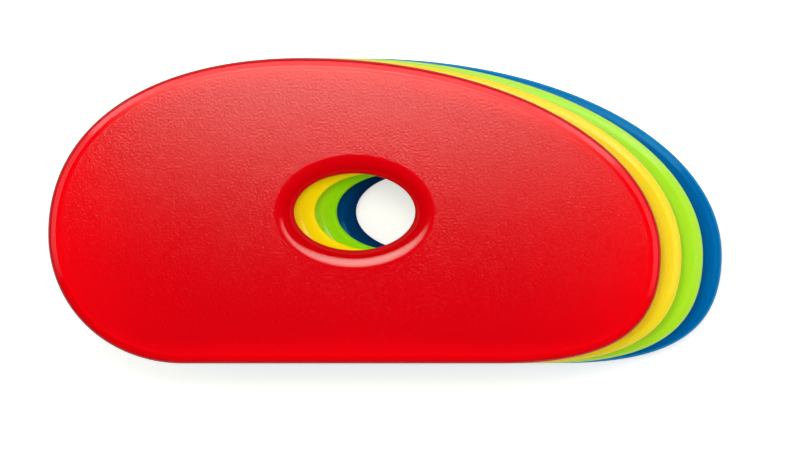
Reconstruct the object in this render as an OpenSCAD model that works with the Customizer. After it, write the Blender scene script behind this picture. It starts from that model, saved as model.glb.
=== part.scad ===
// A set of four pottery ribs: flexible half-moon scrapers, stacked flat and fanned to the right.
// Sizes are in millimetres. X runs along the length, Y from the flat edge to the crest, and Z up.
// The origin is under the middle of the whole set, on the plane that it rests on.

/* [Rib] */
// Length of one rib, from the heel on the left to the tip on the right
rib_length = 152.4; // [120:0.2:190]
// Width of one rib, from the flat edge to the crest
rib_width = 76; // [60:0.2:95]
// Thickness of one rib between its two faces
rib_thickness = 5; // [4.1:0.1:7]

/* [Outline] */
// How far the crest lies from mid-length towards the heel
crest_offset = 13; // [0:0.5:25]
// Height of the tip, the furthest point on the right, above the flat edge
tip_height = 27; // [18:0.1:36]
// Height of the heel, the furthest point on the left, above the flat edge
heel_height = 32.3; // [24:0.1:40]
// How far the lower curve of the tip reaches in along the flat edge
tip_reach = 39.9; // [25:0.1:50]
// How far the lower curve of the heel reaches in along the flat edge
heel_reach = 33.7; // [20:0.1:45]
// Fullness of the curve from tip to crest (0.707 is a part of an ellipse, and more is squarer)
tip_upper_fullness = 0.724; // [0.6:0.002:1.2]
// Fullness of the curve from crest to heel
heel_upper_fullness = 0.852; // [0.6:0.002:1.2]
// Fullness of the curve from heel to flat edge
heel_lower_fullness = 0.746; // [0.6:0.002:1.2]
// Fullness of the curve from flat edge to tip
tip_lower_fullness = 1.104; // [0.6:0.002:1.3]

/* [Edge] */
// Distance from the outline to the crease where the bevel meets the broad face
crease_inset = 1.9; // [1:0.05:2.4]
// Slope of the bevel outside the crease, in degrees
bevel_slope = 30; // [10:1:36]
// Radius of the rounding between the bevel and the upright side
edge_radius = 1.6; // [0.6:0.05:2.2]

/* [Finger hole] */
// Length of the oval hole
hole_length = 30.1; // [20:0.1:36]
// Width of the oval hole
hole_width = 19.1; // [14:0.1:24]
// How far the middle of the hole lies below mid-width
hole_drop = 0.3; // [0:0.1:4]
// Fullness of the oval's four curves (0.707 is an ellipse)
hole_fullness = 0.707; // [0.6:0.002:1.2]
// Width of the rounded mouth around the hole, on each face
mouth_width = 4.7; // [2:0.1:7]
// Steepest slope of the mouth, where it meets the lip of the hole, in degrees
mouth_slope = 26; // [12:1:36]
// Radius of the rounded lip between the mouth and the upright wall of the hole
lip_radius = 1; // [0.4:0.1:1.6]

/* [Fan] */
// How far the yellow rib reaches out beyond the red one above it
yellow_step = 5.2; // [0:0.1:8]
// How far the green rib reaches out beyond the yellow one
green_step = 5.4; // [0:0.1:8]
// How far the blue rib reaches out beyond the green one
blue_step = 4.8; // [0:0.1:8]

/* [Hidden] */

red = [0.83, 0.04, 0.04];
yellow = [1, 0.84, 0.1];
green = [0.68, 0.9, 0.16];
blue = [0, 0.38, 0.64];

// Steps along each curve of the outline and of the hole, and across the edge rounding, the mouth and the lip
outline_steps = 25;
hole_steps = 15;
round_steps = 3;
mouth_steps = 3;
lip_steps = 2;
// How far the cut for the mouth runs on above the face, as a share of its first step
run_out = 0.5;

// The blue rib lies lowest, and each of the others lies on the one before it
fan = yellow_step + green_step + blue_step;
red_x = -fan / 2;
yellow_x = red_x + yellow_step;
green_x = yellow_x + green_step;
blue_x = green_x + blue_step;

// Places that fix the outline: the crest, the flat edge and its two ends, the tip and the heel
crest_x = -crest_offset;
crest_y = rib_width / 2;
flat_y = -rib_width / 2;
tip_x = rib_length / 2;
tip_y = flat_y + tip_height;
heel_x = -rib_length / 2;
heel_y = flat_y + heel_height;
flat_right = tip_x - tip_reach;
flat_left = heel_x + heel_reach;

// The centre of the edge rounding lies below the bevel, which slopes down from the crease
half = rib_thickness / 2;
bevel_end = edge_radius * (1 - sin(bevel_slope));
bevel_fall = (crease_inset - bevel_end) * tan(bevel_slope);
edge_centre = half - bevel_fall - edge_radius * cos(bevel_slope);

// Upper half of the edge, from crease to side: [distance in from the outline, height above mid-thickness]
edge_profile = concat(
    [[crease_inset, half]],
    [for (k = [0:round_steps])
        let (t = (90 - bevel_slope) * (1 - k / round_steps))
        [edge_radius * (1 - cos(t)), edge_centre + edge_radius * sin(t)]]
);

// The mouth is an arc that leaves the face smoothly, and the lip is a tighter arc that runs on to the wall
lip_width = lip_radius * (1 - sin(mouth_slope));
mouth_radius = (mouth_width - lip_width) / sin(mouth_slope);
lip_centre = half - mouth_radius * (1 - cos(mouth_slope)) - lip_radius * cos(mouth_slope);

// Upper half of the mouth, from face to wall: [distance out from the hole, height above mid-thickness]
mouth_arc = [for (k = [0:mouth_steps])
    let (t = mouth_slope * k / mouth_steps)
    [mouth_width - mouth_radius * sin(t), half - mouth_radius * (1 - cos(t))]];
lip_arc = [for (k = [1:lip_steps])
    let (t = (90 - mouth_slope) * (1 - k / lip_steps))
    [lip_radius * (1 - cos(t)), lip_centre + lip_radius * sin(t)]];

// The first point is carried on a little above the face, so that the cut breaks through it
mouth_start = mouth_arc[0] + run_out * (mouth_arc[0] - mouth_arc[1]);
mouth_profile = concat([mouth_start], [for (k = [1:mouth_steps]) mouth_arc[k]], lip_arc);

function reversed(list) = [for (i = [len(list) - 1:-1:0]) list[i]];

function without_last(list) = [for (i = [0:len(list) - 2]) list[i]];

// The lower half of a profile mirrors the upper half and runs on from it
function lower(profile) = [for (p = reversed(profile)) [p.x, -p.y]];

// One place on a curve from [reach.x, 0] to [0, reach.y], as [point, outward direction].
// Point a moves up the side and point b along the top, and the curve touches the line between them.
function station(reach, fullness, t) =
    let (a_weight = 1 - t + fullness * t)
    let (b_weight = fullness * (1 - t) + t)
    let (a = [reach.x, reach.y * fullness * t / a_weight])
    let (b = [reach.x * fullness * (1 - t) / b_weight, reach.y])
    let (along = (b - a) / norm(b - a))
    let (share = t * b_weight / ((1 - t) * a_weight + t * b_weight))
    [a + share * (b - a), sign(reach.x * reach.y) * [along.y, -along.x]];

// A quarter of an outline about its corner
function quarter(corner, reach, fullness, steps) = [for (i = [0:steps])
    let (s = station(reach, fullness, i / steps))
    [corner + s[0], s[1]]];

// The whole outline, anticlockwise from the tip by way of the crest, the heel and the flat edge
to_crest = [tip_x - crest_x, crest_y - tip_y];
from_crest = [heel_x - crest_x, crest_y - heel_y];
tip_upper = quarter([crest_x, tip_y], to_crest, tip_upper_fullness, outline_steps);
heel_upper = quarter([crest_x, heel_y], from_crest, heel_upper_fullness, outline_steps);
heel_lower = quarter([flat_left, heel_y], [-heel_reach, -heel_height], heel_lower_fullness, outline_steps);
tip_lower = quarter([flat_right, tip_y], [tip_reach, -tip_height], tip_lower_fullness, outline_steps);
outline = concat(
    without_last(tip_upper),
    without_last(reversed(heel_upper)),
    heel_lower,
    without_last(reversed(tip_lower))
);

// The oval of the finger hole, anticlockwise from its right end
function hole_quarter(x_side, y_side) =
    quarter([0, -hole_drop], [x_side * hole_length, y_side * hole_width] / 2, hole_fullness, hole_steps);
oval = concat(
    without_last(hole_quarter(1, 1)),
    without_last(reversed(hole_quarter(-1, 1))),
    without_last(hole_quarter(-1, -1)),
    without_last(reversed(hole_quarter(1, -1)))
);

// A closed line through all stations, moved outward by distance and up by height
function ring(list, distance, height) = [for (s = list)
    [s[0].x + distance * s[1].x, s[0].y + distance * s[1].y, half + height]];

// A solid through a stack of rings, listed from the top down and closed by flat ends
module loft(rings) {
    size = len(rings[0]);
    lowest = (len(rings) - 1) * size;
    polyhedron(
        points = [for (r = rings) each r],
        faces = concat(
            [[for (i = [0:size - 1]) size - 1 - i]],
            [[for (i = [0:size - 1]) lowest + i]],
            [for (top = [0:size:lowest - size], i = [0:size - 1])
                let (next = (i + 1) % size)
                [top + i, top + next, top + size + next, top + size + i]]
        )
    );
}

// The outer form: flat faces, a bevel and a rounded edge
module blank() {
    loft([for (p = concat(edge_profile, lower(edge_profile))) ring(outline, -p.x, p.y)]);
}

// The finger hole with its rounded mouth on both faces
module finger_hole() {
    loft([for (p = concat(mouth_profile, lower(mouth_profile))) ring(oval, p.x, p.y)]);
}

module rib() {
    difference() {
        blank();
        finger_hole();
    }
}

module blue_rib() {
    color(blue)
        translate([blue_x, 0, 0])
            rib();
}

module green_rib() {
    color(green)
        translate([green_x, 0, rib_thickness])
            rib();
}

module yellow_rib() {
    color(yellow)
        translate([yellow_x, 0, 2 * rib_thickness])
            rib();
}

module red_rib() {
    color(red)
        translate([red_x, 0, 3 * rib_thickness])
            rib();
}

blue_rib();
green_rib();
yellow_rib();
red_rib();
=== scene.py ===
import math

import bpy
import numpy as np
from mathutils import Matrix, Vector


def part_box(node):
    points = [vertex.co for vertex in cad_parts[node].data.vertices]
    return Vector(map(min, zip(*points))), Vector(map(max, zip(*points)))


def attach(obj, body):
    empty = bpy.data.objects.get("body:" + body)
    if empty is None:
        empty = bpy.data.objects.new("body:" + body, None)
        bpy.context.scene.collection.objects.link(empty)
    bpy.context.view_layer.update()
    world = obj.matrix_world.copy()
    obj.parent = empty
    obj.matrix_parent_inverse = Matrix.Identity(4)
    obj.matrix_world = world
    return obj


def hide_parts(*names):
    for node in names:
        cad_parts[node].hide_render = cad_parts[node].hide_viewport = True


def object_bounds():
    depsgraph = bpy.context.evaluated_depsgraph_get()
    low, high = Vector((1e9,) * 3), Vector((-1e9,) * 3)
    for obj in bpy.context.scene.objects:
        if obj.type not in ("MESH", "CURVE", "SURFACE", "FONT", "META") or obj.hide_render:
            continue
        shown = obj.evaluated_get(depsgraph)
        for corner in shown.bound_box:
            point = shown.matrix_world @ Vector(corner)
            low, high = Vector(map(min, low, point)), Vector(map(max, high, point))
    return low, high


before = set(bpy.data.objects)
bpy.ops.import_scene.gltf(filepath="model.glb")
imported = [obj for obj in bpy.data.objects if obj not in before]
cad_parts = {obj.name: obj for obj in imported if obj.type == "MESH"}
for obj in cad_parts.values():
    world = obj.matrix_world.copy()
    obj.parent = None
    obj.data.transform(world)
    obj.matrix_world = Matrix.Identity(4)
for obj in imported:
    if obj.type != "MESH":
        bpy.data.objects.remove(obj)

CAD_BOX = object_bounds()
MM = 0.001

# Sizes of one rib in millimetres, as in the CAD source
RIB_LENGTH = 152.4
RIB_WIDTH = 76.0
RIB_THICKNESS = 5.0
CREST_OFFSET = 13.0
TIP_HEIGHT = 27.0
HEEL_HEIGHT = 32.3
TIP_REACH = 39.9
HEEL_REACH = 33.7
TIP_UPPER_FULLNESS = 0.724
HEEL_UPPER_FULLNESS = 0.852
HEEL_LOWER_FULLNESS = 0.746
TIP_LOWER_FULLNESS = 1.104
CREASE_INSET = 1.9
BEVEL_SLOPE = math.radians(30.0)
EDGE_RADIUS = 1.6
HOLE_LENGTH = 30.1
HOLE_WIDTH = 19.1
HOLE_DROP = 0.3
HOLE_FULLNESS = 0.707
MOUTH_WIDTH = 4.7
MOUTH_SLOPE = math.radians(26.0)
LIP_RADIUS = 1.0

# A shallow groove runs round the broad face, this far in from the outline
GROOVE_INSET = 2.75
GROOVE_WIDTH = 0.4
GROOVE_DEPTH = 0.008

# Half the width of the fillet along the crease
CREASE_BLEND = 0.07
# How near a line of points lies beside each bend, so that the flat next to it shades flat
HOLD = 0.04

# How finely the surface is divided
CURVE_STEPS = 72
FLAT_STEPS = 44
OVAL_STEPS = 400
ROUND_STEPS = 9
BEVEL_STEPS = 3
CREASE_STEPS = 4
GROOVE_STEPS = 6
FACE_STEPS = 8
MOUTH_STEPS = 10
LIP_STEPS = 8

half = RIB_THICKNESS / 2
crest_y = RIB_WIDTH / 2
tip_x = RIB_LENGTH / 2
heel_x = -tip_x
crest_x = -CREST_OFFSET
tip_y = TIP_HEIGHT - crest_y
heel_y = HEEL_HEIGHT - crest_y
flat_right = tip_x - TIP_REACH
flat_left = heel_x + HEEL_REACH


def quarter(corner, reach, fullness, steps):
    """Points and outward directions on a conic quarter about its corner."""
    t = np.linspace(0, 1, steps + 1)
    a_weight = 1 - t + fullness * t
    b_weight = fullness * (1 - t) + t
    a = np.stack([np.full_like(t, reach[0]), reach[1] * fullness * t / a_weight], axis=1)
    b = np.stack([reach[0] * fullness * (1 - t) / b_weight, np.full_like(t, reach[1])], axis=1)
    along = (b - a) / np.linalg.norm(b - a, axis=1, keepdims=True)
    share = (t * b_weight / ((1 - t) * a_weight + t * b_weight))[:, None]
    out = np.sign(reach[0] * reach[1]) * np.stack([along[:, 1], -along[:, 0]], axis=1)
    return np.hstack([np.array(corner) + a + share * (b - a), out])


def outline():
    """Stations round the rib, anticlockwise from the tip: x, y and the outward direction."""
    to_crest = [tip_x - crest_x, crest_y - tip_y]
    from_crest = [heel_x - crest_x, crest_y - heel_y]
    to_flat = [-HEEL_REACH, -HEEL_HEIGHT]
    from_flat = [TIP_REACH, -TIP_HEIGHT]
    tip_upper = quarter([crest_x, tip_y], to_crest, TIP_UPPER_FULLNESS, CURVE_STEPS)
    heel_upper = quarter([crest_x, heel_y], from_crest, HEEL_UPPER_FULLNESS, CURVE_STEPS)
    heel_lower = quarter([flat_left, heel_y], to_flat, HEEL_LOWER_FULLNESS, CURVE_STEPS)
    tip_lower = quarter([flat_right, tip_y], from_flat, TIP_LOWER_FULLNESS, CURVE_STEPS)
    share = np.linspace(0, 1, FLAT_STEPS + 1)[1:-1, None]
    flat = heel_lower[-1] + share * (tip_lower[-1] - heel_lower[-1])
    return np.vstack([tip_upper[:-1], heel_upper[:0:-1], heel_lower, flat, tip_lower[:0:-1]])


def oval(places):
    """Stations round the finger hole, one for each place, that face those places."""
    quarters = []
    for x_side, y_side in ((1, 1), (-1, 1), (-1, -1), (1, -1)):
        reach = [x_side * HOLE_LENGTH / 2, y_side * HOLE_WIDTH / 2]
        line = quarter([0, -HOLE_DROP], reach, HOLE_FULLNESS, OVAL_STEPS)
        quarters.append(line if x_side == y_side else line[::-1])
    fine = np.vstack([line[:-1] for line in quarters])
    turn = np.arctan2((fine[:, 1] + HOLE_DROP) / HOLE_WIDTH, fine[:, 0] / HOLE_LENGTH)
    wanted = np.arctan2((places[:, 1] + HOLE_DROP) / RIB_WIDTH, places[:, 0] / RIB_LENGTH)
    order = np.argsort(turn)
    columns = [np.interp(wanted, turn[order], column, period=math.tau) for column in fine[order].T]
    return np.stack(columns, axis=1)


def bend(start, corner, end, steps):
    """A small smooth bend from start to end that is pulled towards the corner."""
    start, corner, end = (np.array(p, float) for p in (start, corner, end))
    t = np.linspace(0, 1, steps + 1)[:, None]
    return ((1 - t) ** 2 * start + 2 * t * (1 - t) * corner + t ** 2 * end).tolist()


def arc(radius, start, end, steps):
    """Points on a circle about zero, by the slope of the surface there: distance from the axis, height."""
    slope = np.linspace(start, end, steps + 1)
    return zip(radius * np.sin(slope), radius * np.cos(slope))


def edge_section():
    """From the middle of the side up over the crease to the inner side of the groove.
    Each row is a distance in from the outline and a height above mid-thickness."""
    fall = math.tan(BEVEL_SLOPE)
    bevel_end = EDGE_RADIUS * (1 - math.sin(BEVEL_SLOPE))
    centre = half - (CREASE_INSET - bevel_end) * fall - EDGE_RADIUS * math.cos(BEVEL_SLOPE)
    rows = [[0, 0]]
    for out, up in arc(EDGE_RADIUS, math.pi / 2, BEVEL_SLOPE, ROUND_STEPS):
        rows.append([EDGE_RADIUS - out, centre + up])
    blend_start = CREASE_INSET - CREASE_BLEND
    blend_end = CREASE_INSET + CREASE_BLEND
    for inset in np.linspace(bevel_end + HOLD, blend_start - HOLD, BEVEL_STEPS + 1):
        rows.append([inset, half - (CREASE_INSET - inset) * fall])
    start = [blend_start, half - CREASE_BLEND * fall]
    rows += bend(start, [CREASE_INSET, half], [blend_end, half], CREASE_STEPS)
    rows += [[blend_end + HOLD, half], [GROOVE_INSET - GROOVE_WIDTH / 2 - HOLD, half]]
    for share in np.linspace(0, 1, GROOVE_STEPS + 1):
        depth = GROOVE_DEPTH * math.sin(math.pi * share) ** 2
        rows.append([GROOVE_INSET + (share - 0.5) * GROOVE_WIDTH, half - depth])
    return rows


def mouth_section():
    """From the face down to the middle of the hole's wall.
    Each row is a distance out from the hole and a height above mid-thickness."""
    lip_width = LIP_RADIUS * (1 - math.sin(MOUTH_SLOPE))
    radius = (MOUTH_WIDTH - lip_width) / math.sin(MOUTH_SLOPE)
    lip_centre = half - radius * (1 - math.cos(MOUTH_SLOPE)) - LIP_RADIUS * math.cos(MOUTH_SLOPE)
    rows = []
    for out, up in arc(radius, 0, MOUTH_SLOPE, MOUTH_STEPS):
        rows.append([MOUTH_WIDTH - out, half - radius + up])
    # The arc of the lip starts where that of the mouth ends
    rows.pop()
    for out, up in arc(LIP_RADIUS, MOUTH_SLOPE, math.pi / 2, LIP_STEPS):
        rows.append([LIP_RADIUS - out, lip_centre + up])
    return rows + [[0, 0]]


def upper_rings():
    """Rings from the side over the face to the hole, and the distances of their points.
    The distances are those from the outline and from the hole."""
    outer = outline()
    inner = oval(outer)
    edge = edge_section()
    mouth = mouth_section()
    face_start = edge[-1][0]
    face_end = mouth[0][0]
    start_line = outer[:, :2] - face_start * outer[:, 2:]
    end_line = inner[:, :2] + face_end * inner[:, 2:]
    span = np.linalg.norm(end_line - start_line, axis=1)
    along = (end_line - start_line) / span[:, None]
    rings, from_edge, from_hole = [], [], []

    def add_ring(line, height, edge_distance, hole_distance):
        rings.append(np.column_stack([line, np.full(len(line), height)]))
        from_edge.append(edge_distance + np.zeros(len(line)))
        from_hole.append(hole_distance + np.zeros(len(line)))

    for inset, height in edge:
        add_ring(outer[:, :2] - inset * outer[:, 2:], height, inset, face_end + span + face_start - inset)
    middle = np.linspace(0, 1, FACE_STEPS + 1)[1:-1]
    for travel in [np.full_like(span, HOLD), *(share * span for share in middle), span - HOLD]:
        add_ring(start_line + travel[:, None] * along, half, face_start + travel, face_end + span - travel)
    for outset, height in mouth:
        add_ring(inner[:, :2] + outset * inner[:, 2:], height, face_start + span + face_end - outset, outset)
    return np.array(rings), np.array(from_edge), np.array(from_hole)


def rib_mesh(name, low, high):
    """One rib as a closed surface in the middle of the box of its CAD node."""
    rings, from_edge, from_hole = upper_rings()
    from_end = tip_x - np.abs(rings[..., 0])
    # The lower half mirrors the upper one
    below = rings[-2:0:-1] * [1, 1, -1]
    points = np.concatenate([rings, below]) * MM + (np.array(low) + np.array(high)) / 2
    count, size = points.shape[:2]
    ring, place = np.meshgrid(np.arange(count), np.arange(size), indexing="ij")
    first = ring * size
    second = ((ring + 1) % count) * size
    next_place = (place + 1) % size
    corners = np.stack([first + place, first + next_place, second + next_place, second + place], axis=-1)
    mesh = bpy.data.meshes.new(name)
    mesh.from_pydata(points.reshape(-1, 3).tolist(), [], corners.reshape(-1, 4).tolist())
    # Each point keeps its distances in millimetres, which the materials read
    for label, values in (("from_edge", from_edge), ("from_hole", from_hole), ("from_end", from_end)):
        both = np.concatenate([values, values[-2:0:-1]]).ravel().astype(np.float32)
        mesh.attributes.new(label, "FLOAT", "POINT").data.foreach_set("value", both)
    mesh.polygons.foreach_set("use_smooth", np.ones(len(mesh.polygons), bool))
    mesh.update()
    return mesh


WHITE = (1, 1, 1, 1)
BLACK = (0, 0, 0, 1)

# Where a noise has its middle, and between which values nearly all of it lies
NOISE_MIDDLE = 0.5
NOISE_RANGE = (0.3, 0.7)

# The grain of the broad faces: its fine and coarse cells and its depth in millimetres, the share of the
# fine cells in it, and the share of its depth that is left on the rim and the mouth
FINE_GRAIN = 0.26
COARSE_GRAIN = 0.5
GRAIN_DEPTH = 0.056
FINE_SHARE = 0.12
SMOOTH_SHARE = 0.08

# The grain sets in between these distances past the groove and past the mouth, along a line that wavers
# in cells of this size, by this width at most
GRAIN_PAST_GROOVE = (-0.1, 0.25)
GRAIN_PAST_MOUTH = (-0.1, 0.35)
WAVER_CELLS = 0.7
WAVER_WIDTH = 0.9

# A painted glow, standing in for light that leaks out, makes the colour paler near the rim, by this much at
# most, and near the two ends, up to these distances
EDGE_GLOW = 0.8
EDGE_GLOW_REACH = 10.0
END_GLOW_REACH = 48.0

# The pigment changes slowly, in cells of two sizes: the large ones shift the painted glow, and the others
# deepen the colour. The grain's pits, which lie between these levels of its fine cells, are darkened too, as
# painted shade.
CLOUD_CELLS = 42.0
CLOUD_GLOW = 0.06
DRIFT_CELLS = 16.0
DRIFT_DEEPENS = 0.2
PIT_LEVELS = (0.6, 0.3)
PIT_SHADE_STRENGTH = 0.3

# The painted shade of the mouth fades out over this width, and the rim's painted line, shade on the red rib
# and a painted highlight on the others, between these insets
MOUTH_SHADE_WIDTH = 4.4
PAINTED_LINE_END = (0.4, 0.8)

# Roughness of the faces, of the rim and mouth, and of the hole's lip, and how much the drift and the grain
# change it
FACE_ROUGHNESS = 0.07
RIM_ROUGHNESS = 0.065
LIP_ROUGHNESS = 0.42
DRIFT_ROUGHNESS = 0.01
GRAIN_ROUGHNESS = 0.04

# The lip's roughness and its weaker shine fade out between these distances from the hole
LIP_ROUGHNESS_END = (0.6, 1.4)
LIP_SHINE = 0.12
LIP_SHINE_END = (0.6, 1.6)

# How strongly the plastic refracts, and how far red, green and blue light scatter inside it, as shares of
# a depth in millimetres
REFRACTION = 1.5
SCATTER_SHARES = (1.0, 0.4, 0.25)
SCATTER_DEPTH = 2.5


def add(tree, kind, inputs=None, **settings):
    """A node with its settings, its input values and its links."""
    node = tree.nodes.new(kind)
    for key, value in settings.items():
        setattr(node, key, value)
    for key, value in (inputs or {}).items():
        if isinstance(value, bpy.types.NodeSocket):
            tree.links.new(value, node.inputs[key])
        else:
            node.inputs[key].default_value = value
    return node


def maths(tree, operation, *values, clamp=False):
    """The result of one sum of values or of other nodes' outputs."""
    node = add(tree, "ShaderNodeMath", dict(enumerate(values)), operation=operation, use_clamp=clamp)
    return node.outputs[0]


def spread(tree, value, low, high, to_low=0.0, to_high=1.0, smooth=False):
    """Maps low..high of a value onto to_low..to_high."""
    kind = "SMOOTHSTEP" if smooth else "LINEAR"
    inputs = {"Value": value, "From Min": low, "From Max": high, "To Min": to_low, "To Max": to_high}
    return add(tree, "ShaderNodeMapRange", inputs, interpolation_type=kind, clamp=True).outputs[0]


def noise(tree, where, size, seed, detail=2.0, rough=0.5):
    """Noise whose cells are about size millimetres across."""
    inputs = {"Vector": where, "W": seed, "Scale": 1 / (size * MM), "Detail": detail, "Roughness": rough}
    return add(tree, "ShaderNodeTexNoise", inputs, noise_dimensions="4D").outputs["Fac"]


def mix(tree, share, first, second):
    """A colour that lies between two others. The node keeps its colour sockets at 6, 7 and 2."""
    inputs = {0: share, 6: first, 7: second}
    return add(tree, "ShaderNodeMix", inputs, data_type="RGBA").outputs[2]


def grained_area(tree, where, from_edge, from_hole, seed):
    """1 on the grained part of the face and 0 on the rim and the mouth."""
    waver = maths(tree, "SUBTRACT", noise(tree, where, WAVER_CELLS, seed), NOISE_MIDDLE)
    waver = maths(tree, "MULTIPLY", waver, WAVER_WIDTH)
    past_groove = maths(tree, "ADD", from_edge, waver)
    past_groove = spread(tree, past_groove, *(GROOVE_INSET + distance for distance in GRAIN_PAST_GROOVE))
    past_mouth = maths(tree, "ADD", from_hole, waver)
    past_mouth = spread(tree, past_mouth, *(MOUTH_WIDTH + distance for distance in GRAIN_PAST_MOUTH))
    return maths(tree, "MULTIPLY", past_groove, past_mouth)


def elastomer(name, seed, tone, deep, pale, mouth_shade, line, painted_line_share, scatter, shine):
    """A moulded flexible plastic: fine grain on the broad faces and a smoother rim and mouth."""
    material = bpy.data.materials.new(name)
    material.use_nodes = True
    tree = material.node_tree
    shader = tree.nodes["Principled BSDF"]
    where = add(tree, "ShaderNodeTexCoord").outputs["Object"]
    from_edge = add(tree, "ShaderNodeAttribute", attribute_name="from_edge").outputs["Fac"]
    from_hole = add(tree, "ShaderNodeAttribute", attribute_name="from_hole").outputs["Fac"]
    from_end = add(tree, "ShaderNodeAttribute", attribute_name="from_end").outputs["Fac"]
    grained = grained_area(tree, where, from_edge, from_hole, seed)
    fine = noise(tree, where, FINE_GRAIN, seed + 1, detail=3.0, rough=0.6)
    coarse = noise(tree, where, COARSE_GRAIN, seed + 2)
    drift = noise(tree, where, DRIFT_CELLS, seed + 3, detail=3.0)
    cloud = noise(tree, where, CLOUD_CELLS, seed + 4)

    # Colour: a painted glow makes it paler near the rim and the two ends, then come the drift, the painted
    # shade in the grain's pits and in the hole's mouth, and the rim's painted line
    # Painted glow: paler near the rim and near the two ends
    glow_near_edge = spread(tree, from_edge, 0.0, EDGE_GLOW_REACH, EDGE_GLOW, 0.0, smooth=True)
    glow_near_end = maths(tree, "POWER", spread(tree, from_end, 0.0, END_GLOW_REACH, 1.0, 0.0), 2.0)
    painted_glow = maths(tree, "MAXIMUM", glow_near_edge, glow_near_end)
    painted_glow = maths(tree, "ADD", painted_glow, spread(tree, cloud, *NOISE_RANGE, -CLOUD_GLOW, CLOUD_GLOW), clamp=True)
    # Painted shade in the grain's pits
    pit_shade = maths(tree, "MULTIPLY", spread(tree, fine, *PIT_LEVELS), grained)
    depth = maths(tree, "MULTIPLY", pit_shade, PIT_SHADE_STRENGTH)
    depth = maths(tree, "ADD", depth, spread(tree, drift, *NOISE_RANGE, 0.0, DRIFT_DEEPENS))
    colour = mix(tree, painted_glow, tone, pale)
    colour = mix(tree, depth, colour, deep)
    # Painted shade in the hole's mouth
    colour = mix(tree, spread(tree, from_hole, 0.0, MOUTH_SHADE_WIDTH, 1.0, 0.0), colour, mouth_shade)
    # The rim's painted line: painted shade on the red rib, a painted highlight on the others
    colour = mix(tree, spread(tree, from_edge, *PAINTED_LINE_END, painted_line_share, 0.0), colour, line)
    tree.links.new(colour, shader.inputs["Base Color"])

    # Roughness and shine: the rim and the mouth are a little smoother than the faces, and the lip is dull
    at_lip = spread(tree, from_hole, *LIP_ROUGHNESS_END, LIP_ROUGHNESS - RIM_ROUGHNESS, 0.0, smooth=True)
    by_drift = spread(tree, drift, *NOISE_RANGE, -DRIFT_ROUGHNESS, DRIFT_ROUGHNESS)
    by_grain = maths(tree, "MULTIPLY", maths(tree, "SUBTRACT", fine, NOISE_MIDDLE), GRAIN_ROUGHNESS)
    rough = spread(tree, grained, 0.0, 1.0, RIM_ROUGHNESS, FACE_ROUGHNESS)
    for change in (at_lip, by_drift, by_grain):
        rough = maths(tree, "ADD", rough, change)
    tree.links.new(rough, shader.inputs["Roughness"])
    dull = spread(tree, from_hole, *LIP_SHINE_END, 1.0 - LIP_SHINE, 0.0, smooth=True)
    tree.links.new(mix(tree, dull, shine, BLACK), shader.inputs["Specular Tint"])

    # Relief: the grain's height lies about zero, so that no step shows where it sets in
    height = maths(tree, "MULTIPLY", fine, FINE_SHARE)
    height = maths(tree, "ADD", height, maths(tree, "MULTIPLY", coarse, 1.0 - FINE_SHARE))
    height = maths(tree, "SUBTRACT", height, NOISE_MIDDLE)
    height = maths(tree, "MULTIPLY", height, spread(tree, grained, 0.0, 1.0, SMOOTH_SHARE, 1.0))
    bump = add(tree, "ShaderNodeBump", {"Strength": 1.0, "Distance": GRAIN_DEPTH * MM, "Height": height})
    tree.links.new(bump.outputs["Normal"], shader.inputs["Normal"])

    shader.inputs["IOR"].default_value = REFRACTION
    shader.inputs["Subsurface Weight"].default_value = scatter
    shader.inputs["Subsurface Radius"].default_value = SCATTER_SHARES
    shader.inputs["Subsurface Scale"].default_value = SCATTER_DEPTH * MM
    return material


# The plastics, with colours as linear values: the tone of the face, a deeper one and a paler one for the
# painted glow, the painted shade of the hole's mouth, and the line along the rim with its share, painted
# shade on the red rib and a painted highlight on the others. Then how much light scatters inside, and the
# tint of the shine.
PLASTICS = {
    "red": {
        "tone": (0.68, 0.0002, 0.004, 1),
        "deep": (0.6, 0.0, 0.003, 1),
        "pale": (0.92, 0.0006, 0.004, 1),
        "mouth_shade": (0.5, 0.0, 0.001, 1),
        "line": (0.26, 0.0, 0.0, 1),
        "painted_line_share": 0.55,
        "scatter": 0.5,
        "shine": WHITE,
    },
    "yellow": {
        "tone": (1.0, 0.72, 0.006, 1),
        "deep": (0.97, 0.65, 0.0, 1),
        "pale": (1.0, 0.74, 0.03, 1),
        "mouth_shade": (1.0, 0.74, 0.0, 1),
        "line": (1.0, 0.78, 0.06, 1),
        "painted_line_share": 0.3,
        "scatter": 0.6,
        "shine": (1, 1, 0.8, 1),
    },
    "green": {
        "tone": (0.41, 0.78, 0.012, 1),
        "deep": (0.34, 0.73, 0.002, 1),
        "pale": (0.46, 0.81, 0.03, 1),
        "mouth_shade": (0.33, 0.9, 0.0, 1),
        "line": (0.6, 0.9, 0.2, 1),
        "painted_line_share": 0.35,
        "scatter": 0.6,
        "shine": (0.8, 0.8, 1, 1),
    },
    "blue": {
        "tone": (0.0, 0.1, 0.34, 1),
        "deep": (0.0, 0.075, 0.28, 1),
        "pale": (0.0, 0.145, 0.42, 1),
        "mouth_shade": (0.0, 0.035, 0.2, 1),
        "line": (0.0, 0.26, 0.55, 1),
        "painted_line_share": 0.7,
        "scatter": 0.4,
        "shine": (0.12, 0.8, 0.9, 1),
    },
}

# Each rib has seeds of its own, and the ribs are also kept in a collection that the fills light
SEEDS_APART = 10.0
ribs = bpy.data.collections.new("ribs")
for number, (colour, look) in enumerate(PLASTICS.items()):
    body = colour + "_rib"
    mesh = rib_mesh(body + "_shape", *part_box(body))
    mesh.materials.append(elastomer(colour + "_elastomer", SEEDS_APART * number, **look))
    rib = bpy.data.objects.new("moulded_" + body, mesh)
    bpy.context.scene.collection.objects.link(rib)
    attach(rib, body)
    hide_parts(body)
    ribs.objects.link(rib)

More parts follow.
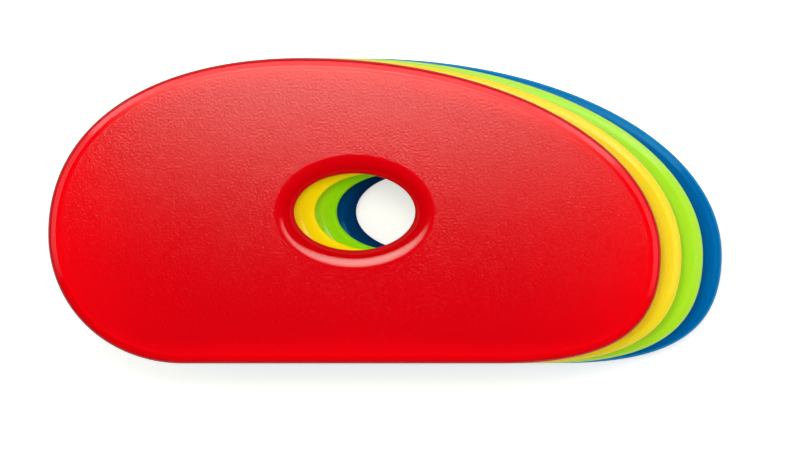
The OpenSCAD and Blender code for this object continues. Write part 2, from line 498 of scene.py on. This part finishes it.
# The camera looks straight down from far off through a long lens. Its place is in millimetres, and the
# view is this many metres wide at the outline of the top rib.
CAMERA_X = 2.09
CAMERA_Y = -3.43
CAMERA_DISTANCE = 4.0
VIEW_WIDTH = 0.1959
SENSOR_WIDTH = 36.0
outline_plane = CAD_BOX[1].z - half * MM
camera = bpy.data.objects.new("camera", bpy.data.cameras.new("camera"))
camera.data.sensor_width = SENSOR_WIDTH
camera.data.lens = SENSOR_WIDTH * CAMERA_DISTANCE / VIEW_WIDTH
camera.location = (CAMERA_X * MM, CAMERA_Y * MM, outline_plane + CAMERA_DISTANCE)
bpy.context.scene.collection.objects.link(camera)
bpy.context.scene.camera = camera


def softbox(name, centre, target, width, height, radiance, tint=(1, 1, 1)):
    """A rectangular lamp in the place centre that faces the target, of an even radiance, in metres."""
    lamp = bpy.data.lights.new(name, "AREA")
    lamp.shape = "RECTANGLE"
    lamp.size = width
    lamp.size_y = height
    lamp.energy = radiance * math.pi * width * height
    lamp.color = tint
    holder = bpy.data.objects.new(name, lamp)
    holder.location = centre
    holder.rotation_euler = (Vector(target) - Vector(centre)).to_track_quat("-Z", "Y").to_euler()
    holder.visible_camera = False
    bpy.context.scene.collection.objects.link(holder)
    return holder


def soften(holder, core, reach, cut=0.0, cut_from=(0.0, 1.0)):
    """Fades a lamp out from its bright core to its edges. All sizes are shares of its width and height.
    The core is given from left to right and from bottom to top, and the reach is how far the light fades
    beyond each of these sides. From the lower to the upper height in cut_from, the core's right side moves
    in by the cut."""
    holder.data.use_nodes = True
    tree = holder.data.node_tree
    spot = add(tree, "ShaderNodeSeparateXYZ", {0: add(tree, "ShaderNodeNewGeometry").outputs["Parametric"]})
    across, up = spot.outputs[0], spot.outputs[1]
    cut_across = maths(tree, "ADD", across, spread(tree, up, *cut_from, 0.0, cut))
    parts = []
    for axis, low_place, high_place in ((0, across, cut_across), (1, up, up)):
        low = maths(tree, "DIVIDE", maths(tree, "SUBTRACT", core[axis][0], low_place), reach[axis][0])
        high = maths(tree, "DIVIDE", maths(tree, "SUBTRACT", high_place, core[axis][1]), reach[axis][1])
        beyond = maths(tree, "MAXIMUM", maths(tree, "MAXIMUM", low, high), 0.0)
        parts.append(maths(tree, "POWER", beyond, 2.0))
    level = spread(tree, maths(tree, "ADD", *parts), 1.0, 0.0)
    tree.links.new(level, tree.nodes["Emission"].inputs["Strength"])


WARM = (1.0, 1.0, 0.9)
COOL = (0.82, 0.91, 1.0)
stack_top = CAD_BOX[1].z

# The key hangs above and behind the ribs, so that its reflection lies on the upper half of the face
KEY_X = 0.02
KEY_Y = 0.0925
KEY_Z = 0.35
KEY_CORE = ((0.32, 0.61), (0.48, 0.6))
KEY_REACH = ((0.26, 0.25), (0.352, 0.4))
key_centre = (KEY_X, KEY_Y, KEY_Z)
key = softbox("key", key_centre, (KEY_X, KEY_Y, 0.0), width=0.3, height=0.215, radiance=7.5, tint=WARM)
soften(key, KEY_CORE, KEY_REACH, cut=0.2, cut_from=(0.19, 0.37))

# A card hangs on each side, and one behind: where it is, where it points, its width and its radiance
CARD_HEIGHT = 0.18
CARD_CORE = ((0.36, 0.64), (0.4, 0.6))
CARD_REACH = ((0.36, 0.36), (0.4, 0.4))
SIDE_CARDS = {
    "left_card": ((-0.27, 0.12, 0.21), (-0.06, 0.03, stack_top), 0.56, 1.6),
    "right_card": ((0.27, 0.1, 0.21), (0.06, 0.02, stack_top), 0.52, 1.2),
}
for name, (centre, target, width, radiance) in SIDE_CARDS.items():
    card = softbox(name, centre, target, width, CARD_HEIGHT, radiance, tint=COOL)
    soften(card, CARD_CORE, CARD_REACH)
softbox("back_card", (0.0, 0.4, 0.25), (0, 0, stack_top), width=1.0, height=0.13, radiance=2.1)

# Two fills soften the shade at the front and on the right. They light only the ribs, and don't show in
# the gloss. Each has a place and a radiance.
FILLS = {
    "front_fill": ((0.0, -0.35, 0.22), 1.5),
    "right_fill": ((0.34, 0.0, 0.24), 1.1),
}
for name, (centre, radiance) in FILLS.items():
    fill = softbox(name, centre, (0, 0, stack_top), width=0.5, height=0.2, radiance=radiance)
    fill.visible_glossy = False
    fill.light_linking.receiver_collection = ribs

# The radiance of the room, and of the floor's lift to white, in full for the camera and by a share in
# reflections. The floor is wide, and lies a hair below the ribs so that no two faces coincide.
AMBIENT = 0.41
FLOOR_LIFT = 0.56
REFLECTED_SHARE = 0.6
FLOOR_TONE = (0.3, 0.3, 0.3, 1)
FLOOR_SIZE = 60.0
FLOOR_GAP = 0.00002


def studio_room():
    """The world, which fills in softly. It is white to the camera and doesn't show in the gloss."""
    world = bpy.data.worlds.new("studio")
    world.use_nodes = True
    tree = world.node_tree
    tree.nodes.clear()
    ray = add(tree, "ShaderNodeLightPath").outputs
    strength = maths(tree, "MULTIPLY", ray["Is Diffuse Ray"], AMBIENT)
    strength = maths(tree, "MAXIMUM", strength, ray["Is Camera Ray"])
    sky = add(tree, "ShaderNodeBackground", {"Color": WHITE, "Strength": strength})
    add(tree, "ShaderNodeOutputWorld", {"Surface": sky.outputs[0]})
    return world


def paper():
    """The floor's plain pale material. The camera sees it lifted to white, with the object's shadow kept."""
    material = bpy.data.materials.new("paper")
    material.use_nodes = True
    tree = material.node_tree
    tree.nodes.clear()
    ray = add(tree, "ShaderNodeLightPath").outputs
    reflected = maths(tree, "MAXIMUM", ray["Is Glossy Ray"], ray["Is Transmission Ray"])
    seen = maths(tree, "MAXIMUM", ray["Is Camera Ray"], maths(tree, "MULTIPLY", reflected, REFLECTED_SHARE))
    strength = maths(tree, "MULTIPLY", seen, FLOOR_LIFT)
    plain = add(tree, "ShaderNodeBsdfDiffuse", {"Color": mix(tree, ray["Is Camera Ray"], FLOOR_TONE, WHITE)})
    lift = add(tree, "ShaderNodeEmission", {"Color": WHITE, "Strength": strength})
    both = add(tree, "ShaderNodeAddShader", {0: plain.outputs[0], 1: lift.outputs[0]})
    add(tree, "ShaderNodeOutputMaterial", {"Surface": both.outputs[0]})
    return material


bpy.context.scene.world = studio_room()
bpy.ops.mesh.primitive_plane_add(size=FLOOR_SIZE)
floor = bpy.context.object
floor.name = "floor"
floor.location.z = -FLOOR_GAP
floor.data.materials.append(paper())

bpy.context.scene.view_settings.view_transform = "Standard"
